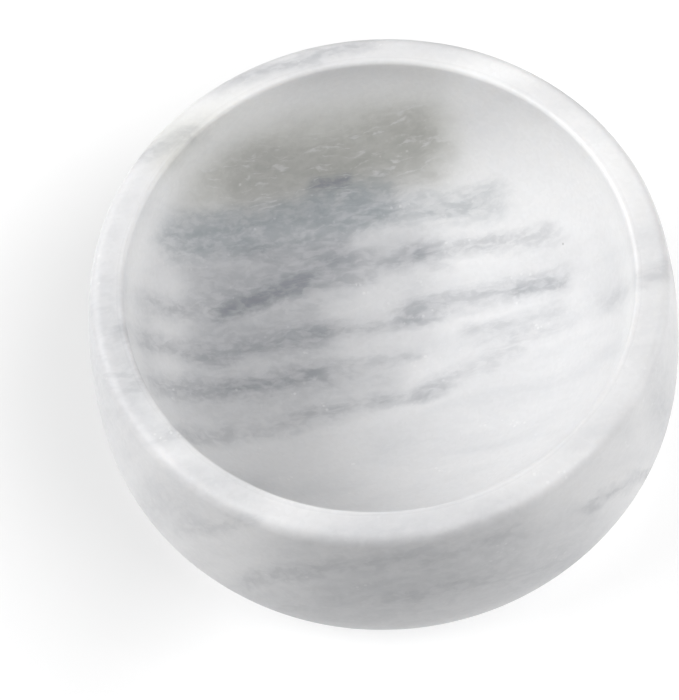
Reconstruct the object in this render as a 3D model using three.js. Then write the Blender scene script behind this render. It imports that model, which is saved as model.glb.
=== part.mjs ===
// Shaving bowl: a thick bowl turned from one block of white marble, standing on small stick-on foot pads.
// Units are millimetres and +Z is up. The origin is on the bowl's axis, on the surface that the pads stand on.
import * as THREE from "three";

// Outside of the stone
const BELLY_DIAMETER = 120; // the widest place, below the middle of the wall
const STONE_HEIGHT = 55; // from the ground base to the top of the rim
const BELLY_DEPTH = 32; // from the top of the rim down to the widest place
const RIM_LEAN = 3; // how far the wall leans in between the belly and the rim
const BASE_DIAMETER = 66; // the flat ground underneath

// Rim and hollow
const RIM_WALL = 7; // width of the flat rim, with both of its rounded edges
const RIM_OUTER_DROP = 2.2; // how far down the side the rim's outer rounding reaches
const RIM_INNER_ROUND = 1;
const FLOOR_THICKNESS = 11; // stone left under the deepest point of the hollow

// Foot pads
const PAD_COUNT = 4;
const PAD_DIAMETER = 10;
const PAD_THICKNESS = 1.5;
const PAD_EDGE_ROUND = 0.4; // on the edge that meets the table
const PAD_MARGIN = 4; // from a pad's side to the edge of the ground base
const FIRST_PAD_ANGLE = Math.PI / 4; // from +X

// How finely the curves are cut
const STONE_SIDES = 72;
const PAD_SIDES = 32;
const ROUND_STEPS = 4;
const WALL_STEPS = 7;
const UNDERSIDE_STEPS = 12;
const HOLLOW_STEPS = 15;

const RIGHT_ANGLE = Math.PI / 2;

const marble = new THREE.MeshStandardMaterial({ color: 0xdfe2e3, roughness: 0.42, metalness: 0 });
marble.name = "marble";
const padRubber = new THREE.MeshStandardMaterial({ color: 0x8d9092, roughness: 0.8, metalness: 0 });
padRubber.name = "pad_rubber";

// Points along part of an ellipse. Angles run from the outward horizontal, anticlockwise.
function ellipseArc(centre, radiusX, radiusY, start, end, steps) {
  const clockwise = end < start;
  const curve = new THREE.EllipseCurve(centre.x, centre.y, radiusX, radiusY, start, end, clockwise);
  return curve.getPoints(steps);
}

function circleArc(centre, radius, start, end, steps) {
  return ellipseArc(centre, radius, radius, start, end, steps);
}

// Turns a profile about the Z axis. It runs from the axis at the bottom, round the outside, back to the axis.
function turned(profile, sides) {
  const onAxis = profile.map((point) => new THREE.Vector2(Math.max(point.x, 0), point.y));
  const distinct = onAxis.filter((point, i) => i === 0 || point.distanceTo(onAxis[i - 1]) > 1e-4);
  return new THREE.LatheGeometry(distinct, sides).rotateX(RIGHT_ANGLE);
}

// The stone's outside, from the edge of the ground base up to the flat of the rim.
function outsideProfile() {
  const bellyRadius = BELLY_DIAMETER / 2;
  const baseRadius = BASE_DIAMETER / 2;
  const bellyHeight = STONE_HEIGHT - BELLY_DEPTH;
  const underside = ellipseArc(
    new THREE.Vector2(baseRadius, bellyHeight),
    bellyRadius - baseRadius,
    bellyHeight,
    -RIGHT_ANGLE,
    0,
    UNDERSIDE_STEPS,
  );

  // One long arc, upright at the belly, that has leant in by RIM_LEAN where the rim's rounding starts.
  const rise = BELLY_DEPTH - RIM_OUTER_DROP;
  const wallRadius = (rise ** 2 + RIM_LEAN ** 2) / (2 * RIM_LEAN);
  const wallTurn = Math.asin(rise / wallRadius);
  const wallCentre = new THREE.Vector2(bellyRadius - wallRadius, bellyHeight);
  const wall = circleArc(wallCentre, wallRadius, 0, wallTurn, WALL_STEPS);

  // The rounding starts in line with the leaning wall and ends level with the rim.
  const roundStart = wall.at(-1);
  const roundRadius = RIM_OUTER_DROP / (1 - Math.sin(wallTurn));
  const roundCentre = new THREE.Vector2(
    roundStart.x - roundRadius * Math.cos(wallTurn),
    STONE_HEIGHT - roundRadius,
  );
  const rimRound = circleArc(roundCentre, roundRadius, wallTurn, RIGHT_ANGLE, ROUND_STEPS);
  return [...underside, ...wall, ...rimRound];
}

// The stone's inside, from the flat of the rim over the inner edge and down to the deepest point.
function insideProfile() {
  const openingRadius = BELLY_DIAMETER / 2 - RIM_LEAN - RIM_WALL;
  const hollowDepth = STONE_HEIGHT - FLOOR_THICKNESS;
  const roundCentre = new THREE.Vector2(
    openingRadius + RIM_INNER_ROUND,
    STONE_HEIGHT - RIM_INNER_ROUND,
  );
  const innerRound = circleArc(
    roundCentre,
    RIM_INNER_ROUND,
    RIGHT_ANGLE,
    2 * RIGHT_ANGLE,
    ROUND_STEPS,
  );
  const hollow = ellipseArc(
    new THREE.Vector2(0, roundCentre.y),
    openingRadius,
    hollowDepth - RIM_INNER_ROUND,
    0,
    -RIGHT_ANGLE,
    HOLLOW_STEPS,
  );
  return [...innerRound, ...hollow];
}

function makeStoneBowl() {
  const profile = [new THREE.Vector2(0, 0), ...outsideProfile(), ...insideProfile()];
  const bowl = new THREE.Mesh(turned(profile, STONE_SIDES), marble);
  bowl.name = "stone_bowl";
  bowl.position.z = PAD_THICKNESS;
  return bowl;
}

// The pads stand in a ring under the ground base, each with its flat top stuck to the stone.
function makeFootPads() {
  const padRadius = PAD_DIAMETER / 2;
  const ringRadius = BASE_DIAMETER / 2 - PAD_MARGIN - padRadius;
  const edgeCentre = new THREE.Vector2(padRadius - PAD_EDGE_ROUND, PAD_EDGE_ROUND);
  const profile = [
    new THREE.Vector2(0, 0),
    ...circleArc(edgeCentre, PAD_EDGE_ROUND, -RIGHT_ANGLE, 0, ROUND_STEPS),
    new THREE.Vector2(padRadius, PAD_THICKNESS),
    new THREE.Vector2(0, PAD_THICKNESS),
  ];
  const pads = new THREE.Group();
  for (let i = 0; i < PAD_COUNT; i++) {
    const angle = FIRST_PAD_ANGLE + (i * 2 * Math.PI) / PAD_COUNT;
    const pad = new THREE.Mesh(turned(profile, PAD_SIDES), padRubber);
    pad.name = `foot_pad_${i + 1}`;
    pad.position.set(ringRadius * Math.cos(angle), ringRadius * Math.sin(angle), 0);
    pads.add(pad);
  }
  return pads;
}

const shavingBowl = new THREE.Group();
shavingBowl.add(makeStoneBowl(), makeFootPads());

export default shavingBowl;
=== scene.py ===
"""Marble shaving bowl: a thick bowl turned from one block of veined white stone, on small foot pads.

Everything is in metres, +Z up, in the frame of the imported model. The stone is drawn as one outline and turned
about the Z axis, as on a lathe. Its veins are sheets of grey mineral that run through the block.
"""

import math

import bmesh
import bpy
from bpy.props import FloatProperty, FloatVectorProperty, IntProperty, PointerProperty
from bpy.types import Operator, Panel, PropertyGroup
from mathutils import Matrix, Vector


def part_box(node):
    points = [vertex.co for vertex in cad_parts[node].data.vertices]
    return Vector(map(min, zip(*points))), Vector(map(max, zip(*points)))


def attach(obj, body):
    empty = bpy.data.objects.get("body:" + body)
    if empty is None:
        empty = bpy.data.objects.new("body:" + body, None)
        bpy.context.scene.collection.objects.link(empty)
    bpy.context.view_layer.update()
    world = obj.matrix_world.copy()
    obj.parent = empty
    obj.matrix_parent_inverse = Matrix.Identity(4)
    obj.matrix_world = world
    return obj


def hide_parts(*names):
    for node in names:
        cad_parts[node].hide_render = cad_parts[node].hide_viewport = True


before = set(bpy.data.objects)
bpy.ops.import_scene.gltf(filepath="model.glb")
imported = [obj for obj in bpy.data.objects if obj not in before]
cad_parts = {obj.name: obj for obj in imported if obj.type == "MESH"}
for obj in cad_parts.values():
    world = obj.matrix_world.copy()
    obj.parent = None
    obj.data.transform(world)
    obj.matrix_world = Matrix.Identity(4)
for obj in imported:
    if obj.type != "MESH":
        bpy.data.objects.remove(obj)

bl_info = {
    "name": "Marble Shaving Bowl",
    "version": (1, 0, 0),
    "blender": (4, 5, 0),
    "location": "View3D > Sidebar > Shaving Bowl",
    "description": "Makes a turned marble shaving bowl, its foot pads and a plain studio for it",
    "category": "Object",
}

MM = 0.001
RIGHT_ANGLE = math.pi / 2
SHARP_ANGLE = math.radians(35)  # faces that meet at more than this stay sharply divided
WELD = 0.002 * MM  # vertices closer than this are one vertex
BEDDING_NORMAL = Vector((-0.09, 0.93, 0.35)).normalized()  # the stone's layers face this way
RIM_ZONE = 3 * MM  # everything nearer than this to the top belongs to the rim
CAMERA_AIM = Vector((-8.7 * MM, -15.6 * MM, 0))  # from the middle of the rim
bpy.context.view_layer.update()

STONE_NODE = "stone_bowl"
PAD_NODES = sorted(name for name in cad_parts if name.startswith("foot_pad_"))


# ---------------------------------------------------------------- sizes from the frame

def measure_stone():
    """The named sizes of the turned stone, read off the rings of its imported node."""
    rings = {
        (round(math.hypot(v.co.x, v.co.y), 6), round(v.co.z, 6))
        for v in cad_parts[STONE_NODE].data.vertices
    }
    base_z = min(z for r, z in rings)
    rim_z = max(z for r, z in rings)
    belly_radius, belly_z = max(rings)
    near_rim = [(r, z) for r, z in rings if z > rim_z - RIM_ZONE]
    wall_top_radius, wall_top_z = max(near_rim)
    flat_radii = [r for r, z in rings if z == rim_z]
    return {
        "base_z": base_z,
        "base_radius": max(r for r, z in rings if z == base_z),
        "belly_radius": belly_radius,
        "belly_z": belly_z,
        "wall_top_radius": wall_top_radius,
        "wall_top_z": wall_top_z,
        "flat_outer": max(flat_radii),
        "flat_inner": min(flat_radii),
        "opening_radius": min(near_rim)[0],
        "rim_z": rim_z,
        "floor_z": max(z for r, z in rings if r < WELD),
    }


STONE = measure_stone()


# ---------------------------------------------------------------- what a user may change

class StoneShape(PropertyGroup):
    """How finely the stone is turned and how evenly it is finished."""

    turning_steps: IntProperty(
        name="Turning Steps",
        description="Faces in one turn about the axis",
        default=240,
        min=24,
    )
    curve_steps: IntProperty(
        name="Curve Steps",
        description="Edges in a quarter turn of the outline's long curves",
        default=48,
        min=6,
    )
    edge_steps: IntProperty(
        name="Edge Steps",
        description="Edges in each small rounding of the rim",
        default=8,
        min=2,
    )
    unevenness: FloatProperty(
        name="Unevenness",
        description="How far hand polishing has left the surface from a true turned shape",
        default=0.12 * MM,
        unit="LENGTH",
    )
    unevenness_span: FloatProperty(
        name="Unevenness Span",
        description="Distance from one slight hollow of the hand polishing to the next",
        default=17 * MM,
        unit="LENGTH",
    )


class MarbleLook(PropertyGroup):
    """Colours and finish of the stone."""

    ground: FloatVectorProperty(
        name="Ground",
        description="The white of the stone between its veins",
        subtype="COLOR",
        default=(0.715, 0.715, 0.722),
    )
    # the white of the purest stone, used for its clear crystals and also for painted light and painted glow
    white_and_painted_light: FloatVectorProperty(
        name="Whitest",
        description="The purest part of the block",
        subtype="COLOR",
        default=(0.86, 0.86, 0.86),
    )
    cloud: FloatVectorProperty(
        name="Cloud",
        description="Broad grey clouds that run along the bedding",
        subtype="COLOR",
        default=(0.52, 0.53, 0.548),
    )
    # also the colour of the painted shade in the haze
    vein: FloatVectorProperty(
        name="Vein",
        description="Blue grey of the vein sheets",
        subtype="COLOR",
        default=(0.255, 0.268, 0.295),
    )
    stain: FloatVectorProperty(
        name="Stain",
        description="Warm grey of the cloudy end of the block",
        subtype="COLOR",
        default=(0.35, 0.35, 0.33),
    )
    warmth: FloatVectorProperty(
        name="Warmth",
        description="Pale warm grey round the cloudy end of the block",
        subtype="COLOR",
        default=(0.68, 0.68, 0.645),
    )
    slate: FloatVectorProperty(
        name="Slate",
        description="Cool grey of the broad zone between the cloudy end and the veins",
        subtype="COLOR",
        default=(0.325, 0.352, 0.374),
    )
    roughness: FloatProperty(
        name="Roughness",
        description="Roughness of the honed surface",
        default=0.5,
        min=0.05,
        max=1.0,
        subtype="FACTOR",
    )


class PadShape(PropertyGroup):
    """Shape of the rubber pads under the stone."""

    sides: IntProperty(
        name="Sides",
        description="Faces round each pad",
        default=96,
        min=16,
    )
    edge_round: FloatProperty(
        name="Edge Rounding",
        description="Rounding of the edge that meets the table",
        default=0.4 * MM,
        unit="LENGTH",
    )
    glue_edge: FloatProperty(
        name="Glue Edge",
        description="Rounding of the cut edge against the stone",
        default=0.08 * MM,
        unit="LENGTH",
    )
    dish_margin: FloatProperty(
        name="Dish Margin",
        description="Width of the level ring round the sunk middle of the face that meets the table",
        default=1.1 * MM,
        unit="LENGTH",
    )
    dish_depth: FloatProperty(
        name="Dish Depth",
        description="How far the middle of that face is sunk, so that the pad grips by its ring",
        default=0.2 * MM,
        unit="LENGTH",
    )
    dish_round: FloatProperty(
        name="Dish Rounding",
        description="Rounding where the sunk middle meets its slope",
        default=0.16 * MM,
        unit="LENGTH",
    )
    edge_steps: IntProperty(
        name="Edge Steps",
        description="Edges in the rounding that meets the table; the smaller roundings have a share of them",
        default=6,
        min=3,
    )


class PadLook(PropertyGroup):
    """Colours and finish of the pads."""

    rubber: FloatVectorProperty(
        name="Rubber",
        description="Colour of the rubber",
        subtype="COLOR",
        default=(0.27, 0.28, 0.29),
    )
    dust: FloatVectorProperty(
        name="Dust",
        description="Pale stone dust that clings to the rubber",
        subtype="COLOR",
        default=(0.5, 0.5, 0.49),
    )
    rubber_roughness: FloatProperty(
        name="Roughness",
        description="Roughness of the rubber where it is clean",
        default=0.72,
        min=0.05,
        max=1.0,
        subtype="FACTOR",
    )


class StageLook(PropertyGroup):
    """Studio light, floor and camera."""

    floor: FloatVectorProperty(
        name="Floor",
        description="Colour of the floor",
        subtype="COLOR",
        default=(0.45, 0.45, 0.45),
    )
    floor_glow: FloatProperty(
        name="Floor Glow",
        description="How strongly the floor is lit from beneath, as a light table is",
        default=0.63,
        min=0.0,
    )
    floor_paleness: FloatProperty(
        name="Paleness Further Off",
        description="How pale the floor and the surround look further from the bowl",
        default=0.8,
        min=0.0,
    )
    surround: FloatProperty(
        name="Surround",
        description="Strength of the white light from all round",
        default=0.04,
        min=0.0,
    )
    lamp_distance: FloatProperty(
        name="Lamp Distance",
        description="From the middle of the floor to each lamp",
        default=1.0,
        unit="LENGTH",
    )
    lamp_size: FloatProperty(
        name="Lamp Size",
        description="Side of each square lamp",
        default=0.5,
        unit="LENGTH",
    )
    key_power: FloatProperty(
        name="Key Power",
        description="Power of the high lamp at the left",
        default=5.4,
        min=0.0,
        unit="POWER",
    )
    back_power: FloatProperty(
        name="Back Power",
        description="Power of the lower lamp at the back left",
        default=5.2,
        min=0.0,
        unit="POWER",
    )
    side_power: FloatProperty(
        name="Side Power",
        description="Power of the high lamp at the right",
        default=4.1,
        min=0.0,
        unit="POWER",
    )
    low_power: FloatProperty(
        name="Low Power",
        description="Power of the low lamp at the right, which clears the floor there",
        default=4.5,
        min=0.0,
        unit="POWER",
    )
    camera_distance: FloatProperty(
        name="Camera Distance",
        description="From the middle of the rim to the camera",
        default=480 * MM,
        unit="LENGTH",
    )
    camera_height: FloatProperty(
        name="Camera Elevation",
        description="Angle of the camera above the floor",
        default=math.radians(60.5),
        subtype="ANGLE",
    )
    camera_roll: FloatProperty(
        name="Camera Roll",
        description="How far the camera is tipped about its own line of sight",
        default=math.radians(-7.7),
        subtype="ANGLE",
    )
    lens: FloatProperty(
        name="Lens",
        description="Focal length in millimetres",
        default=126.3,
        min=20.0,
    )


# ---------------------------------------------------------------- modelling by hand

def deselect_everything():
    """Goes back to object mode with nothing selected."""
    if bpy.context.mode != "OBJECT":
        bpy.ops.object.mode_set(mode="OBJECT")
    bpy.ops.object.select_all(action="DESELECT")


def work_on(piece):
    """Makes the piece the active object and the only selected one."""
    deselect_everything()
    bpy.context.view_layer.objects.active = piece
    piece.select_set(True)


def keep_place_in_mesh():
    """Moves the active object's place, turn and size into its mesh."""
    bpy.ops.object.transform_apply(location=True, rotation=True, scale=True)


def pick_out(piece, kind, wanted):
    """In edit mode, selects only those vertices, edges or faces that pass the test."""
    bpy.ops.mesh.select_mode(type=kind)
    mesh = bmesh.from_edit_mesh(piece.data)
    elements = {"VERT": mesh.verts, "EDGE": mesh.edges, "FACE": mesh.faces}[kind]
    for element in elements:
        element.select_set(False)
    for element in elements:
        if wanted(element):
            element.select_set(True)
    mesh.select_flush_mode()
    bmesh.update_edit_mesh(piece.data)


def pick_verts(piece, wanted):
    """In edit mode, selects only the vertices whose place passes the test."""
    pick_out(piece, "VERT", lambda vert: wanted(vert.co))


def pick_level_edges(piece, height):
    """In edit mode, selects only the edges that lie level at a height."""
    pick_out(piece, "EDGE", lambda edge: all(abs(vert.co.z - height) < WELD for vert in edge.verts))


def on_outline(radius, height):
    """A point of an outline, which lies in the plane of X and Z."""
    return Vector((radius, 0, height))


class Outline:
    """An outline drawn edge by edge from its last vertex, as in edit mode by hand."""

    def __init__(self, name, start):
        deselect_everything()
        bpy.ops.mesh.primitive_plane_add(size=MM, location=start)
        self.piece = bpy.context.object
        self.piece.name = self.piece.data.name = name
        keep_place_in_mesh()
        bpy.ops.object.mode_set(mode="EDIT")
        bpy.ops.mesh.select_mode(type="VERT")
        bpy.ops.mesh.select_all(action="SELECT")
        bpy.ops.mesh.merge(type="CENTER")
        self.end = start

    def pick_end(self, end):
        """Goes on from the vertex at this place."""
        self.end = end
        pick_verts(self.piece, lambda co: (co - end).length < WELD)

    def line_to(self, end):
        """A straight edge."""
        bpy.ops.mesh.extrude_region_move(TRANSFORM_OT_translate={"value": end - self.end})
        self.pick_end(end)

    def arc_to(self, end, centre, turn, steps, stretch=(1, 1, 1)):
        """A round arc about a centre, stretched from there where the curve is an ellipse."""
        before = self.places()
        bpy.ops.mesh.spin(steps=steps, angle=turn, center=centre, axis=(0, 1, 0))
        if stretch != (1, 1, 1):
            pick_verts(self.piece, lambda co: tuple(co) not in before)
            bpy.ops.transform.resize(value=stretch, center_override=centre)
        self.pick_end(end)

    def places(self):
        """Where all the outline's vertices are."""
        return {tuple(vert.co) for vert in bmesh.from_edit_mesh(self.piece.data).verts}

    def turn_about_axis(self, steps):
        """Spins the whole outline once about Z and closes its seam and poles."""
        bpy.ops.mesh.select_all(action="SELECT")
        bpy.ops.mesh.spin(steps=steps, angle=2 * math.pi, center=(0, 0, 0), axis=(0, 0, 1))
        bpy.ops.mesh.select_all(action="SELECT")
        bpy.ops.mesh.remove_doubles(threshold=WELD)
        bpy.ops.mesh.normals_make_consistent(inside=False)
        bpy.ops.object.mode_set(mode="OBJECT")
        return self.piece


def draw_stone(shape):
    """The stone, from an outline that runs from the middle of its base up the outside and into the hollow."""
    s = STONE
    rise = s["wall_top_z"] - s["belly_z"]
    lean = s["belly_radius"] - s["wall_top_radius"]
    wall_radius = (rise**2 + lean**2) / (2 * lean)
    wall_turn = math.asin(rise / wall_radius)
    round_radius = (s["rim_z"] - s["wall_top_z"]) / (1 - math.sin(wall_turn))
    inner_round = s["flat_inner"] - s["opening_radius"]
    hollow_top = s["rim_z"] - inner_round
    underside = s["belly_z"] - s["base_z"]

    outline = Outline("marble_bowl", on_outline(0, s["base_z"]))
    outline.line_to(on_outline(s["base_radius"], s["base_z"]))
    outline.arc_to(
        end=on_outline(s["belly_radius"], s["belly_z"]),
        centre=on_outline(s["base_radius"], s["belly_z"]),
        turn=RIGHT_ANGLE,
        steps=shape.curve_steps,
        stretch=((s["belly_radius"] - s["base_radius"]) / underside, 1, 1),
    )
    outline.arc_to(
        end=on_outline(s["wall_top_radius"], s["wall_top_z"]),
        centre=on_outline(s["belly_radius"] - wall_radius, s["belly_z"]),
        turn=wall_turn,
        steps=shape.curve_steps // 2,
    )
    outline.arc_to(
        end=on_outline(s["flat_outer"], s["rim_z"]),
        centre=on_outline(s["flat_outer"], s["rim_z"] - round_radius),
        turn=RIGHT_ANGLE - wall_turn,
        steps=shape.edge_steps,
    )
    outline.line_to(on_outline(s["flat_inner"], s["rim_z"]))
    outline.arc_to(
        end=on_outline(s["opening_radius"], hollow_top),
        centre=on_outline(s["flat_inner"], hollow_top),
        turn=RIGHT_ANGLE,
        steps=shape.edge_steps,
    )
    outline.arc_to(
        end=on_outline(0, s["floor_z"]),
        centre=on_outline(0, hollow_top),
        turn=-RIGHT_ANGLE,
        steps=shape.curve_steps,
        stretch=(1, 1, (hollow_top - s["floor_z"]) / s["opening_radius"]),
    )
    return outline.turn_about_axis(shape.turning_steps)


def hand_polish(piece, shape):
    """Leaves the slight unevenness of hand polishing everywhere but on the ground base."""
    work_on(piece)
    bpy.ops.object.mode_set(mode="EDIT")
    pick_verts(piece, lambda co: co.z > STONE["base_z"] + WELD)
    polished = piece.vertex_groups.new(name="polished")
    bpy.ops.object.vertex_group_assign()
    bpy.ops.object.mode_set(mode="OBJECT")
    waves = bpy.data.textures.new("polishing_waves", "CLOUDS")
    waves.noise_scale = shape.unevenness_span
    waves.noise_depth = 1
    swell = piece.modifiers.new("Hand Polish", "DISPLACE")
    swell.texture = waves
    swell.texture_coords = "LOCAL"
    swell.strength = shape.unevenness
    swell.mid_level = 0.5
    swell.vertex_group = polished.name
    bpy.ops.object.modifier_apply(modifier=swell.name)


def model_pad(shape):
    """One pad, cut from sheet: a thin disc with a sunk face to the table and rounded edges."""
    low, high = (Vector(corner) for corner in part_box(PAD_NODES[0]))
    middle = (low + high) / 2
    radius = (high.x - low.x) / 2
    deselect_everything()
    bpy.ops.mesh.primitive_cylinder_add(
        vertices=shape.sides,
        radius=radius,
        depth=high.z - low.z,
        end_fill_type="NGON",
        location=middle,
    )
    piece = bpy.context.object
    keep_place_in_mesh()
    bpy.ops.object.mode_set(mode="EDIT")
    pick_level_edges(piece, low.z)
    bpy.ops.mesh.bevel(offset=shape.edge_round, segments=shape.edge_steps, affect="EDGES")
    pick_level_edges(piece, high.z)
    bpy.ops.mesh.bevel(offset=shape.glue_edge, segments=shape.edge_steps // 3, affect="EDGES")

    # the sunk middle of the face to the table, with its own small rounding
    pick_out(piece, "FACE", lambda face: len(face.verts) == shape.sides and face.normal.z < 0)
    bpy.ops.mesh.inset(thickness=shape.dish_margin - shape.edge_round, depth=0)
    bpy.ops.mesh.inset(thickness=shape.dish_depth, depth=0)
    bpy.ops.transform.translate(value=(0, 0, shape.dish_depth))
    pick_level_edges(piece, low.z + shape.dish_depth)
    bpy.ops.mesh.bevel(offset=shape.dish_round, segments=shape.edge_steps // 2, affect="EDGES")
    bpy.ops.mesh.select_all(action="SELECT")
    bpy.ops.mesh.normals_make_consistent(inside=False)
    bpy.ops.object.mode_set(mode="OBJECT")
    return piece


def copy_to(piece, offset, name):
    """A copy with its own mesh, moved within that mesh."""
    work_on(piece)
    bpy.ops.object.duplicate(linked=False)
    copy = bpy.context.object
    copy.name = copy.data.name = name
    bpy.ops.transform.translate(value=offset)
    keep_place_in_mesh()
    return copy


def shade_smooth(piece):
    """Shades a piece that has no sharp edge."""
    work_on(piece)
    bpy.ops.object.shade_smooth()


def shade_by_angle(piece):
    """Shades a piece that keeps its sharper edges."""
    work_on(piece)
    bpy.ops.object.shade_smooth_by_angle(angle=SHARP_ANGLE)


def put_in_frame(piece, node):
    """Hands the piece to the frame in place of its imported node."""
    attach(piece, "root")
    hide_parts(node)


# ---------------------------------------------------------------- node building

class Graph:
    """Adds nodes to one node tree. An input is fed a number, a vector or another node's output."""

    def __init__(self, tree):
        self.tree = tree

    def add(self, kind, inputs=None, **settings):
        node = self.tree.nodes.new(kind)
        for name, value in settings.items():
            setattr(node, name, value)
        for name, value in (inputs or {}).items():
            self.feed(node.inputs[name], value)
        return node

    def feed(self, socket, value):
        if isinstance(value, bpy.types.NodeSocket):
            self.tree.links.new(value, socket)
        else:
            socket.default_value = value

    def math(self, operation, *values):
        node = self.add("ShaderNodeMath", operation=operation)
        for socket, value in zip(node.inputs, values):
            self.feed(socket, value)
        return node.outputs["Value"]

    def vector(self, operation, *values, scale=None):
        node = self.add("ShaderNodeVectorMath", operation=operation)
        for socket, value in zip(node.inputs, values):
            self.feed(socket, value)
        if scale is not None:
            self.feed(node.inputs["Scale"], scale)
        one_number = operation in ("DOT_PRODUCT", "LENGTH", "DISTANCE")
        return node.outputs["Value" if one_number else "Vector"]

    def ramp(self, value, low, high, to_low=0.0, to_high=1.0, smooth=True):
        """Takes low to high onto to_low to to_high and stays level beyond."""
        node = self.add("ShaderNodeMapRange", clamp=True)
        node.interpolation_type = "SMOOTHSTEP" if smooth else "LINEAR"
        for name, amount in (
            ("Value", value),
            ("From Min", low),
            ("From Max", high),
            ("To Min", to_low),
            ("To Max", to_high),
        ):
            self.feed(node.inputs[name], amount)
        return node.outputs["Result"]

    def mix(self, share, first, second):
        """A colour between two, with the second's share. Its sockets share their names with hidden ones."""
        node = self.add("ShaderNodeMix", data_type="RGBA", clamp_factor=True)
        share_in, first_in, second_in = (node.inputs[i] for i in (0, 6, 7))
        self.feed(share_in, share)
        self.feed(first_in, first)
        self.feed(second_in, second)
        return node.outputs[2]

    def tint(self, mask, strength, colour, tinted):
        """Turns a colour towards another where the mask is high, ever more slowly as the mask grows."""
        clear = self.math("EXPONENT", self.math("MULTIPLY", mask, -strength))
        return self.mix(clear, rgba(tinted), colour)

    def noise(self, position, detail, distortion=0.0):
        """Noise whose features are about one unit of the position across."""
        return self.add(
            "ShaderNodeTexNoise",
            {
                "Vector": position,
                "Scale": 1.0,
                "Detail": detail,
                "Roughness": 0.55,
                "Distortion": distortion,
            },
        )

    def bump(self, strength, distance, height):
        """A normal that shows the height as relief."""
        node = self.add("ShaderNodeBump", {"Strength": strength, "Distance": distance, "Height": height})
        return node.outputs["Normal"]

    def group(self, tree, **inputs):
        """Places a node group. An input's name has an underscore for each space of its socket's name."""
        node = self.add("ShaderNodeGroup", node_tree=tree)
        for name, value in inputs.items():
            self.feed(node.inputs[name.replace("_", " ")], value)
        return node.outputs


def new_group(name, inputs, outputs):
    """A shader node group with named sockets, and the graph, input node and output node to fill it with."""
    tree = bpy.data.node_groups.new(name, "ShaderNodeTree")
    for label, kind, default in inputs:
        socket = tree.interface.new_socket(label, in_out="INPUT", socket_type="NodeSocket" + kind)
        if default is not None:
            socket.default_value = default
    for label, kind in outputs:
        tree.interface.new_socket(label, in_out="OUTPUT", socket_type="NodeSocket" + kind)
    graph = Graph(tree)
    return tree, graph, graph.add("NodeGroupInput").outputs, graph.add("NodeGroupOutput").inputs


def rgba(colour):
    """A colour with full opacity, as colour sockets take it."""
    return (*colour, 1.0)


# ---------------------------------------------------------------- shader node groups

def bedding_group(name):
    """A position in mm from the middle of the rim, told along the bedding, across it and down into it."""
    tree, graph, given, out = new_group(
        name,
        [("Position", "Vector", None), ("Rim Height", "Float", 50.0)],
        [("Position", "Vector")],
    )
    rim = graph.add("ShaderNodeCombineXYZ", {"Z": given["Rim Height"]})
    from_rim = graph.vector("SUBTRACT", given["Position"], rim.outputs["Vector"])
    across = BEDDING_NORMAL
    along = (Vector((1, 0, 0)) - across * across.x).normalized()
    told = graph.add(
        "ShaderNodeCombineXYZ",
        {
            "X": graph.vector("DOT_PRODUCT", from_rim, along),
            "Y": graph.vector("DOT_PRODUCT", from_rim, across),
            "Z": graph.vector("DOT_PRODUCT", from_rim, across.cross(along)),
        },
    )
    graph.feed(out["Position"], told.outputs["Vector"])
    return tree


def swirl_group(name):
    """Pushes a position about by noise, so that what is drawn with it wanders."""
    tree, graph, given, out = new_group(
        name,
        [
            ("Position", "Vector", None),
            ("Span", "Vector", (20.0, 6.0, 20.0)),
            ("Amount", "Vector", (1.0, 2.0, 1.0)),
            ("Detail", "Float", 2.0),
        ],
        [("Position", "Vector")],
    )
    steps = graph.vector("DIVIDE", given["Position"], given["Span"])
    noise = graph.noise(steps, given["Detail"])
    centred = graph.vector("SUBTRACT", noise.outputs["Color"], (0.5, 0.5, 0.5))
    doubled = graph.vector("SCALE", centred, scale=2.0)
    push = graph.vector("MULTIPLY", doubled, given["Amount"])
    graph.feed(out["Position"], graph.vector("ADD", given["Position"], push))
    return tree


def vein_group(name):
    """One sheet of vein in bedding coordinates. It runs between two places along the bedding."""
    tree, graph, given, out = new_group(
        name,
        [
            ("Position", "Vector", None),
            ("From", "Float", -20.0),
            ("To", "Float", 20.0),
            ("Start Height", "Float", 0.0),
            ("End Height", "Float", 0.0),
            ("Bow", "Float", 0.0),
            ("Half Thickness", "Float", 2.0),
            ("Darkness", "Float", 0.5),
        ],
        [("Mask", "Float")],
    )
    parts = graph.add("ShaderNodeSeparateXYZ", {"Vector": given["Position"]}).outputs
    share = graph.ramp(parts["X"], given["From"], given["To"], smooth=False)
    straight = graph.ramp(share, 0.0, 1.0, given["Start Height"], given["End Height"], smooth=False)
    rest = graph.math("SUBTRACT", 1.0, share)
    swell = graph.math("MULTIPLY", graph.math("MULTIPLY", share, rest), 4.0)
    middle = graph.math("ADD", straight, graph.math("MULTIPLY", swell, given["Bow"]))
    away = graph.math("ABSOLUTE", graph.math("SUBTRACT", parts["Y"], middle))
    core = graph.ramp(away, 0.0, given["Half Thickness"], 1.0, 0.0)
    fade = graph.ramp(swell, 0.0, 0.6)
    mask = graph.math("MULTIPLY", graph.math("MULTIPLY", core, fade), given["Darkness"])
    graph.feed(out["Mask"], mask)
    return tree


def streak_group(name):
    """Streaks drawn out along the bedding: noise that changes quickly across it and slowly along it."""
    tree, graph, given, out = new_group(
        name,
        [
            ("Position", "Vector", None),
            ("Length", "Float", 20.0),
            ("Thickness", "Float", 1.5),
            ("Detail", "Float", 3.0),
            ("Low", "Float", 0.3),
            ("High", "Float", 0.7),
        ],
        [("Mask", "Float")],
    )
    span = graph.add(
        "ShaderNodeCombineXYZ",
        {"X": given["Length"], "Y": given["Thickness"], "Z": given["Length"]},
    )
    drawn_out = graph.vector("DIVIDE", given["Position"], span.outputs["Vector"])
    noise = graph.noise(drawn_out, given["Detail"], distortion=0.25)
    graph.feed(out["Mask"], graph.ramp(noise.outputs["Fac"], given["Low"], given["High"]))
    return tree


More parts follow.
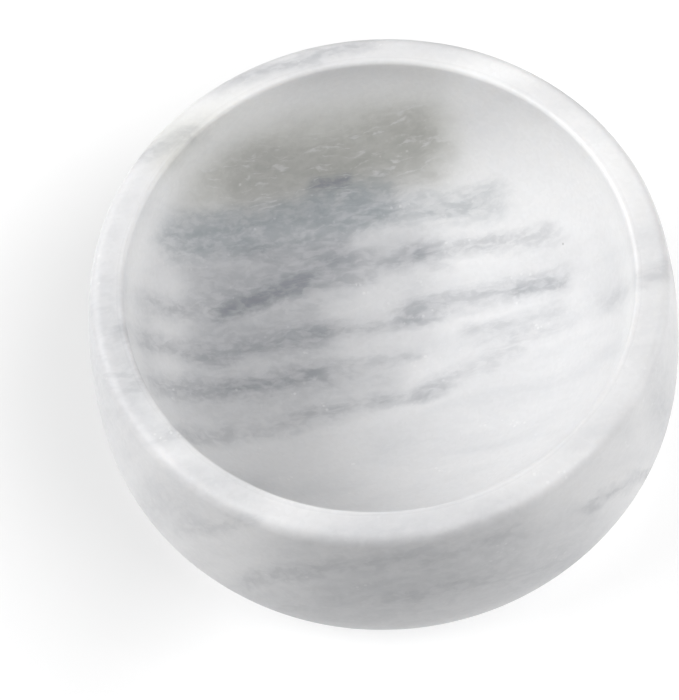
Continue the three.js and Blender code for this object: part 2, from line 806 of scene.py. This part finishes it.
def grain_group(name):
    """Packed grains: each one's shade from 0 to 1, and a share of them picked out."""
    tree, graph, given, out = new_group(
        name,
        [
            ("Position", "Vector", None),
            ("Size", "Float", 0.6),
            ("Picked Share", "Float", 0.05),
            ("Spot", "Float", 0.5),
        ],
        [("Shade", "Float"), ("Picked", "Float")],
    )
    steps = graph.math("DIVIDE", 1.0, given["Size"])
    cells = graph.add(
        "ShaderNodeTexVoronoi",
        {"Vector": given["Position"], "Scale": steps},
        feature="F1",
    ).outputs
    parts = graph.add("ShaderNodeSeparateColor", {"Color": cells["Color"]}).outputs
    graph.feed(out["Shade"], parts["Red"])
    chosen = graph.math("LESS_THAN", parts["Green"], given["Picked Share"])
    spot = graph.ramp(cells["Distance"], graph.math("MULTIPLY", given["Spot"], 0.5), given["Spot"], 1.0, 0.0)
    graph.feed(out["Picked"], graph.math("MULTIPLY", chosen, spot))
    return tree


def ring_edge_group(name):
    """The neighbourhood of a round edge about the Z axis, for the wear along it."""
    tree, graph, given, out = new_group(
        name,
        [
            ("Position", "Vector", None),
            ("Radius", "Float", 50.0),
            ("Height", "Float", 50.0),
            ("Reach", "Float", 1.5),
        ],
        [("Mask", "Float")],
    )
    parts = graph.add("ShaderNodeSeparateXYZ", {"Vector": given["Position"]}).outputs
    flat = graph.add("ShaderNodeCombineXYZ", {"X": parts["X"], "Y": parts["Y"]})
    radius = graph.vector("LENGTH", flat.outputs["Vector"])
    offset = graph.add(
        "ShaderNodeCombineXYZ",
        {
            "X": graph.math("SUBTRACT", radius, given["Radius"]),
            "Y": graph.math("SUBTRACT", parts["Z"], given["Height"]),
        },
    )
    away = graph.vector("LENGTH", offset.outputs["Vector"])
    graph.feed(out["Mask"], graph.ramp(away, 0.0, given["Reach"], 1.0, 0.0))
    return tree


GROUP_MAKERS = {
    "Bedding": bedding_group,
    "Swirl": swirl_group,
    "Vein Sheet": vein_group,
    "Bedding Streaks": streak_group,
    "Grain": grain_group,
    "Ring Edge": ring_edge_group,
}


def shared_groups():
    """The node groups by name. Each is built when it is first needed, and all the materials share it."""
    return {
        name: bpy.data.node_groups.get(name) or make(name)
        for name, make in GROUP_MAKERS.items()
    }


# ---------------------------------------------------------------- materials

def new_material(name, colour):
    """A material with an empty node tree but for its Principled shader and output."""
    material = bpy.data.materials.new(name)
    material.diffuse_color = rgba(colour)
    material.use_nodes = True
    material.node_tree.nodes.clear()
    graph = Graph(material.node_tree)
    shader = graph.add("ShaderNodeBsdfPrincipled")
    graph.add("ShaderNodeOutputMaterial", {"Surface": shader.outputs["BSDF"]})
    return material, graph, shader


def position_in_mm(graph):
    """Object coordinates, in millimetres."""
    place = graph.add("ShaderNodeTexCoord").outputs["Object"]
    return graph.vector("SCALE", place, scale=1 / MM)


# What colours the stone is told in rows, one for each sheet of it, in mm in bedding coordinates: from and to
# along the bedding, height across it at the start and at the end, bow, half thickness, and how dark.
VEINS = (
    # a clot in the cloudy end
    (-11, 0, 27, 27.6, 0, 2.6, 1.0),
    # thin sheets in front of the slate zone
    (-28, -2, 15.4, 14.6, -0.8, 4, 0.31),
    (-14, 16, 11.5, 9.5, 0, 3, 0.3),
    (-26, 14, 10.6, 9.8, 0, 2.8, 0.24),
    (0, 18, 9, 5.5, 0, 2.5, 0.2),
    # the darkest band, and its other end
    (-50, -8, 5.4, 7, -1, 5, 0.4),
    (-36, -12, 3.2, 8.8, 0, 3.4, 0.95),
    (-24, 2, 8.2, 6.8, 0, 2.8, 0.26),
    (4, 42, 11, 5.2, 0.8, 4, 0.33),
    # the middle band
    (-54, -32, -0.8, -6.2, 0, 3.8, 0.37),
    (-44, -6, -6, -2.6, 0, 4, 0.39),
    (-18, 14, -2.8, -2.8, -0.7, 3, 0.28),
    (0, 42, -3, -3.4, 0.6, 4.2, 0.4),
    (26, 40, -2.8, -4, 0, 1.8, 0.42),
    # the two bands in front
    (-56, -4, -11.6, -11.6, -1.4, 4.8, 0.4),
    (-38, -12, -12.8, -12, 0, 2.8, 0.28),
    (-10, 8, -11, -11.6, 0, 2, 0.22),
    (14, 39, -8.8, -8.4, -1, 3, 0.24),
    (16, 41, -12.6, -12.6, 0, 3.2, 0.17),
    (-50, -6, -24.4, -20.2, 0, 3.5, 0.28),
    (-28, 0, -22.2, -19.4, 0, 2.8, 0.16),
    (-8, 12, -19.8, -21.2, 0, 2.6, 0.28),
    (2, 29, -20.8, -14.8, 0, 3.8, 0.28),
    # the outside, front and right
    (-44, 8, -52.6, -57.4, 0, 2.6, 0.2),
    (-16, 16, -61.6, -62.4, 0, 2, 0.16),
    (-3, 18, -57.4, -54.4, 0, 1.9, 0.14),
    (28, 52, -53, -44.6, 0, 2, 0.29),
    (-50, -28, -41.4, -43.4, 0, 3, 0.17),
    (42, 62, -12, -9, 0, 3.4, 0.2),
    # the rim at the back
    (-28, 12, 47.5, 51, 0, 3.0, 0.34),
    (-54, -26, 32, 39, 0, 3.0, 0.32),
)

# Grey haze, smooth where the vein sheets are crystalline. It is partly the stone's own grey and partly painted
# shade, over the left of the hollow and the near outer wall.
HAZE_AND_PAINTED_SHADE = (
    # round the veins at the left of the hollow, partly the stone's grey and partly painted shade, as that side
    # lies in the shade of its own wall
    (-42, 18, 10, 10, 0, 9, 0.24),
    (-42, -2, 10, 10, 0, 10, 0.38),
    (-44, 16, -4, -5, 0, 11, 0.16),
    (-44, -8, -4, -5, 0, 11, 0.26),
    (-48, 6, -17, -16, 0, 9, 0.26),
    (0, 46, 1, 0, 0, 8, 0.12),
    (-42, -10, 0.5, 0.5, 0, 4, 0.3),
    # over the rim and wall at the left and the right
    (-78, -45, -4, -4, 0, 36, 0.3),
    (44, 80, -36, -36, 0, 14, 0.3),
    # in front, over the near rim and wall, as painted shade on the near outer wall, which faces away from the
    # lamps
    (-60, -26, -36, -37, 0, 8, 0.2),
    (-34, 24, -50, -52, 0, 7, 0.24),
    (-64, 50, -61, -62, 0, 12, 0.34),
)

# Painted light as pale patches, on the lit right side of the hollow and just below the back of the rim; and the
# block's warm end with a slate coloured zone in front of it.
PAINTED_LIGHT_SIDE = (6, 90, 18, 16, 0, 28, 0.6)
PAINTED_LIGHT_UNDER_BACK_RIM = (-44, 58, 41, 38, 0, 8.5, 0.9)
WARM_END = (-44, 28, 32, 33, 2, 15, 0.85)
STAINS = (
    (-42, 25, 30, 31, 2, 13, 0.58),
    (-30, 22, 28, 31, 0, 9.5, 0.72),
)
SLATE_ZONES = (
    (-45, 10, 18.8, 22.5, 0, 7.4, 1.15),
    (-14, 33, 22, 16, 0, 6, 0.42),
)

# How strongly each kind of mask colours the stone, and how far it reaches.
CLOUD_SHARE = 0.4
STAIN_STRENGTH = 1.1
SLATE_STRENGTH = 1.2
VEIN_STRENGTH = 1.1
# painted glow of the light that comes through the thin top of the wall
THIN_WALL_DEPTH = 6.5  # mm below the rim
THIN_WALL_REACH = 9.5
THIN_WALL_GLOW_SHARE = 0.5
CRYSTAL_SHARE = 0.4
PIT_COLOUR = (0.22, 0.22, 0.21)
PIT_SHARE = 0.7

# The finish: handled edges of the rim and flashing crystals are smoother than the honed stone.
OUTER_EDGE_REACH = 1.8
INNER_EDGE_REACH = 1.6
EDGE_POLISH = 0.26
CRYSTAL_POLISH = 0.12


def vein_mask(graph, groups, position, uneven, row):
    """The mask of one row, made uneven."""
    start, end, start_height, end_height, bow, half_thickness, darkness = row
    mask = graph.group(
        groups["Vein Sheet"],
        Position=position,
        From=start,
        To=end,
        Start_Height=start_height,
        End_Height=end_height,
        Bow=bow,
        Half_Thickness=half_thickness,
        Darkness=darkness,
    )["Mask"]
    return graph.math("MULTIPLY", mask, uneven)


def vein_masks(graph, groups, position, uneven, rows):
    """The masks of several rows, added together."""
    total = 0.0
    for row in rows:
        total = graph.math("ADD", total, vein_mask(graph, groups, position, uneven, row))
    return total


def streak_mask(graph, groups, position, length, thickness, detail, low, high):
    """Streaks along the bedding, each about as long and thick as these, in mm."""
    return graph.group(
        groups["Bedding Streaks"],
        Position=position,
        Length=length,
        Thickness=thickness,
        Detail=detail,
        Low=low,
        High=high,
    )["Mask"]


def ring_mask(graph, groups, place, radius, height, reach):
    """A mask round an edge of the turned stone, with its radius and height in metres and its reach in mm."""
    return graph.group(
        groups["Ring Edge"],
        Position=place,
        Radius=radius / MM,
        Height=height / MM,
        Reach=reach,
    )["Mask"]


def marble_material(look, groups):
    """White marble: clouds, a warm stained end, a slate zone, sheets of grey vein and fine crystals."""
    material, graph, shader = new_material("veined_marble", look.ground)
    place = position_in_mm(graph)
    bedded = graph.group(
        groups["Bedding"],
        Position=place,
        Rim_Height=STONE["rim_z"] / MM,
    )["Position"]
    rolled = graph.group(
        groups["Swirl"],
        Position=bedded,
        Span=(26, 14, 26),
        Amount=(1.5, 1.4, 1.5),
        Detail=1.0,
    )["Position"]
    feathered = graph.group(
        groups["Swirl"],
        Position=rolled,
        Span=(8, 3.4, 8),
        Amount=(2.4, 1.8, 2.4),
        Detail=5.0,
    )["Position"]

    # grey clouds through all of the stone, drawn out along the bedding
    clouds = streak_mask(graph, groups, rolled, length=38, thickness=9, detail=4, low=0.45, high=0.8)
    colour = graph.mix(graph.math("MULTIPLY", clouds, CLOUD_SHARE), rgba(look.ground), rgba(look.cloud))

    # dappling by crystals a few millimetres across, which breaks up whatever colours the stone
    dapple = streak_mask(graph, groups, feathered, length=3, thickness=1.3, detail=4, low=0.3, high=0.7)
    drift = streak_mask(graph, groups, rolled, length=15, thickness=4, detail=2, low=0.3, high=0.7)
    uneven = graph.math(
        "MULTIPLY",
        graph.ramp(dapple, 0.0, 1.0, 0.62, 1.38),
        graph.ramp(drift, 0.0, 1.0, 0.74, 1.26),
    )
    softer = graph.ramp(uneven, 0.4, 1.6, 0.72, 1.28, smooth=False)

    # painted light as pale patches, the warm end of the block and the slate coloured zone
    white_and_painted_light = graph.math(
        "MAXIMUM",
        vein_mask(graph, groups, rolled, 1.0, PAINTED_LIGHT_SIDE),
        vein_mask(graph, groups, rolled, 1.0, PAINTED_LIGHT_UNDER_BACK_RIM),
    )
    colour = graph.mix(white_and_painted_light, colour, rgba(look.white_and_painted_light))
    warm = vein_mask(graph, groups, rolled, 1.0, WARM_END)
    colour = graph.mix(warm, colour, rgba(look.warmth))
    stained = vein_masks(graph, groups, feathered, softer, STAINS)
    colour = graph.tint(stained, STAIN_STRENGTH, colour, look.stain)
    slate = vein_masks(graph, groups, feathered, uneven, SLATE_ZONES)
    colour = graph.tint(slate, SLATE_STRENGTH, colour, look.slate)

    # the vein sheets and the haze round them, the haze partly painted shade
    veins = graph.math(
        "ADD",
        vein_masks(graph, groups, feathered, uneven, VEINS),
        vein_masks(graph, groups, rolled, softer, HAZE_AND_PAINTED_SHADE),
    )
    colour = graph.tint(veins, VEIN_STRENGTH, colour, look.vein)

    # painted glow: paler where light comes through the thin top of the wall
    painted_glow = ring_mask(
        graph,
        groups,
        place,
        radius=STONE["opening_radius"],
        height=STONE["rim_z"] - THIN_WALL_DEPTH * MM,
        reach=THIN_WALL_REACH,
    )
    colour = graph.mix(graph.math("MULTIPLY", painted_glow, THIN_WALL_GLOW_SHARE), colour, rgba(look.white_and_painted_light))

    # white wisps where the stone is stained
    wisps = streak_mask(graph, groups, feathered, length=4.5, thickness=0.8, detail=3, low=0.55, high=0.7)
    wispy = graph.math("MULTIPLY", wisps, graph.ramp(stained, 0.1, 0.7, 0.08, 0.42))
    colour = graph.mix(wispy, colour, rgba(look.ground))

    # clusters of clear crystals, which look white against the grey
    clusters = streak_mask(graph, groups, rolled, length=13, thickness=4, detail=2, low=0.56, high=0.72)
    crystals = graph.group(groups["Grain"], Position=place, Size=0.9, Picked_Share=0.16, Spot=0.5)["Picked"]
    clear = graph.math("MULTIPLY", graph.math("MULTIPLY", crystals, clusters), CRYSTAL_SHARE)
    colour = graph.mix(clear, colour, rgba(look.white_and_painted_light))

    # crystal grain, with a few pits
    grain = graph.group(groups["Grain"], Position=place, Size=0.8, Picked_Share=0.04, Spot=0.45)
    shade = graph.ramp(grain["Shade"], 0.0, 1.0, 0.982, 1.015, smooth=False)
    colour = graph.vector("SCALE", colour, scale=shade)
    pits = graph.group(groups["Grain"], Position=place, Size=5.5, Picked_Share=0.05, Spot=0.08)["Picked"]
    colour = graph.mix(graph.math("MULTIPLY", pits, PIT_SHARE), colour, rgba(PIT_COLOUR))
    graph.feed(shader.inputs["Base Color"], colour)

    # honed, and smoother on both edges of the rim, where it is handled
    handled = graph.math(
        "MAXIMUM",
        ring_mask(graph, groups, place, STONE["wall_top_radius"], STONE["rim_z"], OUTER_EDGE_REACH),
        ring_mask(graph, groups, place, STONE["flat_inner"], STONE["rim_z"], INNER_EDGE_REACH),
    )
    finish = graph.ramp(clouds, 0.0, 1.0, look.roughness - 0.02, look.roughness + 0.05)
    finish = graph.math("SUBTRACT", finish, graph.math("MULTIPLY", handled, EDGE_POLISH))
    finish = graph.math("SUBTRACT", finish, graph.math("MULTIPLY", grain["Picked"], CRYSTAL_POLISH))
    graph.feed(shader.inputs["Roughness"], finish)
    shader.inputs["Specular IOR Level"].default_value = 0.35
    shader.inputs["Subsurface Weight"].default_value = 0.6
    shader.inputs["Subsurface Radius"].default_value = (1.0, 0.95, 0.9)
    shader.inputs["Subsurface Scale"].default_value = 3.5 * MM

    relief = graph.math("SUBTRACT", graph.math("MULTIPLY", grain["Shade"], 0.12), pits)
    graph.feed(shader.inputs["Normal"], graph.bump(0.3, 0.06 * MM, relief))
    return material


DUST_SHARE = 0.3
DUST_ROUGHNESS = 0.92


def pad_material(look, groups):
    """Soft grey rubber, finely pebbled and dusty in patches where it has been handled."""
    material, graph, shader = new_material("grey_rubber", look.rubber)
    place = position_in_mm(graph)
    grain = graph.group(groups["Grain"], Position=place, Size=0.25, Picked_Share=0.12, Spot=0.5)
    shade = graph.ramp(grain["Shade"], 0.0, 1.0, 0.88, 1.08, smooth=False)
    colour = graph.vector("SCALE", look.rubber, scale=shade)
    dust = streak_mask(graph, groups, place, length=3.2, thickness=2.4, detail=4, low=0.45, high=0.75)
    colour = graph.mix(graph.math("MULTIPLY", dust, DUST_SHARE), colour, rgba(look.dust))
    graph.feed(shader.inputs["Base Color"], colour)
    graph.feed(shader.inputs["Roughness"], graph.ramp(dust, 0.0, 1.0, look.rubber_roughness, DUST_ROUGHNESS))
    relief = graph.math("SUBTRACT", graph.math("MULTIPLY", grain["Shade"], 0.4), grain["Picked"])
    graph.feed(shader.inputs["Normal"], graph.bump(0.4, 0.04 * MM, relief))
    return material


# The glow of the floor and the bowl's shade on it, in mm from the bowl's axis
GLOW_FULL = 105
GLOW_GONE = 260
SHADE_FULL = 60
SHADE_GONE = 150
SHADED_GLOW = 0.6  # share of the glow that is left in the shade


def floor_material(look):
    """A pale floor lit from beneath round the bowl, as a light table is, and less so to the bowl's left."""
    material, graph, shader = new_material("pale_floor", look.floor)
    place = position_in_mm(graph)
    parts = graph.add("ShaderNodeSeparateXYZ", {"Vector": place}).outputs
    away = graph.vector("LENGTH", place)
    near = graph.ramp(away, GLOW_FULL, GLOW_GONE, 1.0, 0.0)
    # the shaded side lies to the left and the back
    across = graph.math("SUBTRACT", parts["X"], graph.math("MULTIPLY", parts["Y"], 0.5))
    beside = graph.math(
        "MULTIPLY",
        graph.ramp(away, SHADE_FULL, SHADE_GONE, 1.0, 0.0),
        graph.ramp(across, -45, 20, 1.0, 0.0),
    )
    dimmed = graph.ramp(beside, 0.0, 1.0, 1.0, SHADED_GLOW, smooth=False)
    glow = graph.math("MULTIPLY", graph.math("MULTIPLY", near, dimmed), look.floor_glow)
    # further off it is as pale to look at, but sheds no light on the bowl
    seen = graph.add("ShaderNodeLightPath").outputs["Is Camera Ray"]
    pale = graph.ramp(away, GLOW_FULL, GLOW_GONE, 0.0, look.floor_paleness)
    further = graph.math("MULTIPLY", pale, seen)
    glow = graph.math("ADD", glow, further)
    graph.feed(shader.inputs["Base Color"], rgba(look.floor))
    shader.inputs["Emission Strength"].default_value = 1.0
    graph.feed(shader.inputs["Emission Color"], graph.vector("SCALE", (1, 1, 1), scale=glow))
    shader.inputs["Roughness"].default_value = 0.9
    shader.inputs["Specular IOR Level"].default_value = 0.1
    return material


# ---------------------------------------------------------------- operators

class SHAVINGBOWL_OT_stone(Operator):
    """Turn the marble bowl"""

    bl_idname = "shaving_bowl.stone"
    bl_label = "Marble Bowl"

    def execute(self, context):
        scene = context.scene
        piece = draw_stone(scene.bowl_stone_shape)
        hand_polish(piece, scene.bowl_stone_shape)
        shade_smooth(piece)
        piece.data.materials.append(marble_material(scene.bowl_marble_look, shared_groups()))
        put_in_frame(piece, STONE_NODE)
        return {"FINISHED"}


class SHAVINGBOWL_OT_pads(Operator):
    """Cut the rubber pads and stick them under the stone"""

    bl_idname = "shaving_bowl.pads"
    bl_label = "Foot Pads"

    def execute(self, context):
        scene = context.scene
        rubber = pad_material(scene.bowl_pad_look, shared_groups())
        pattern = model_pad(scene.bowl_pad_shape)
        first_place = Vector(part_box(PAD_NODES[0])[0])
        for number, node in enumerate(PAD_NODES, start=1):
            offset = Vector(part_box(node)[0]) - first_place
            pad = copy_to(pattern, offset, f"rubber_pad_{number}")
            shade_by_angle(pad)
            pad.data.materials.append(rubber)
            put_in_frame(pad, node)
        bpy.data.objects.remove(pattern)
        return {"FINISHED"}


class SHAVINGBOWL_OT_stage(Operator):
    """Set up the floor, lights and camera"""

    bl_idname = "shaving_bowl.stage"
    bl_label = "Studio"

    def execute(self, context):
        look = context.scene.bowl_stage_look
        self.make_floor(look)
        self.make_lights(look)
        self.make_camera(look)
        return {"FINISHED"}

    def make_floor(self, look):
        deselect_everything()
        bpy.ops.mesh.primitive_circle_add(vertices=96, radius=4.0, fill_type="NGON", location=(0, 0, 0))
        floor = bpy.context.object
        floor.name = "studio_floor"
        floor.data.materials.append(floor_material(look))

    def make_lights(self, look):
        world = bpy.data.worlds.new("studio_surround")
        bpy.context.scene.world = world
        world.use_nodes = True
        graph = Graph(world.node_tree)
        backdrop = world.node_tree.nodes["Background"]
        backdrop.inputs["Color"].default_value = (1, 1, 1, 1)
        seen = graph.add("ShaderNodeLightPath").outputs["Is Camera Ray"]
        strength = graph.ramp(seen, 0.0, 1.0, look.surround, look.floor_paleness, smooth=False)
        graph.feed(backdrop.inputs["Strength"], strength)
        self.add_softbox(look, "key_light", 190, 50, look.key_power)
        self.add_softbox(look, "back_light", 155, 35, look.back_power)
        self.add_softbox(look, "side_light", 330, 60, look.side_power)
        self.add_softbox(look, "low_light", 0, 18, look.low_power)

    def add_softbox(self, look, name, turn, rise, power):
        """A square lamp that faces the bowl from a turn about Z and a rise above the floor, in degrees."""
        deselect_everything()
        turn, rise = math.radians(turn), math.radians(rise)
        level = math.cos(rise)
        away = Vector((level * math.cos(turn), level * math.sin(turn), math.sin(rise)))
        bpy.ops.object.light_add(
            type="AREA",
            location=away * look.lamp_distance,
            rotation=(-away).to_track_quat("-Z", "Y").to_euler(),
        )
        lamp = bpy.context.object
        lamp.name = name
        lamp.data.shape = "SQUARE"
        lamp.data.size = look.lamp_size
        lamp.data.energy = power
        lamp.visible_camera = False

    def make_camera(self, look):
        deselect_everything()
        rim_middle = Vector((0, 0, STONE["rim_z"]))
        back = Vector((0, -math.cos(look.camera_height), math.sin(look.camera_height)))
        aim = rim_middle + CAMERA_AIM
        place = rim_middle + back * look.camera_distance
        bpy.ops.object.camera_add(location=place)
        camera = bpy.context.object
        camera.name = "studio_camera"
        camera.rotation_euler = (aim - place).to_track_quat("-Z", "Y").to_euler()
        camera.rotation_euler.rotate_axis("Z", look.camera_roll)
        camera.data.lens = look.lens
        camera.data.sensor_width = 36
        camera.data.clip_end = 50
        bpy.context.scene.camera = camera
        bpy.context.scene.view_settings.view_transform = "Standard"


class SHAVINGBOWL_PT_panel(Panel):
    """Lists the pieces and what can be changed"""

    bl_label = "Marble Shaving Bowl"
    bl_idname = "SHAVINGBOWL_PT_panel"
    bl_space_type = "VIEW_3D"
    bl_region_type = "UI"
    bl_category = "Shaving Bowl"

    def draw(self, context):
        scene = context.scene
        for operator, settings in (
            (SHAVINGBOWL_OT_stone, (scene.bowl_stone_shape, scene.bowl_marble_look)),
            (SHAVINGBOWL_OT_pads, (scene.bowl_pad_shape, scene.bowl_pad_look)),
            (SHAVINGBOWL_OT_stage, (scene.bowl_stage_look,)),
        ):
            box = self.layout.box()
            box.operator(operator.bl_idname)
            for group in settings:
                for name in type(group).__annotations__:
                    box.prop(group, name)


CLASSES = (
    StoneShape,
    MarbleLook,
    PadShape,
    PadLook,
    StageLook,
    SHAVINGBOWL_OT_stone,
    SHAVINGBOWL_OT_pads,
    SHAVINGBOWL_OT_stage,
    SHAVINGBOWL_PT_panel,
)
SCENE_SETTINGS = {
    "bowl_stone_shape": StoneShape,
    "bowl_marble_look": MarbleLook,
    "bowl_pad_shape": PadShape,
    "bowl_pad_look": PadLook,
    "bowl_stage_look": StageLook,
}


def register():
    for cls in CLASSES:
        bpy.utils.register_class(cls)
    for name, settings in SCENE_SETTINGS.items():
        setattr(bpy.types.Scene, name, PointerProperty(type=settings))


def unregister():
    for name in SCENE_SETTINGS:
        delattr(bpy.types.Scene, name)
    for cls in reversed(CLASSES):
        bpy.utils.unregister_class(cls)


def main():
    register()
    bpy.ops.shaving_bowl.stone()
    bpy.ops.shaving_bowl.pads()
    bpy.ops.shaving_bowl.stage()


if __name__ == "__main__":
    main()
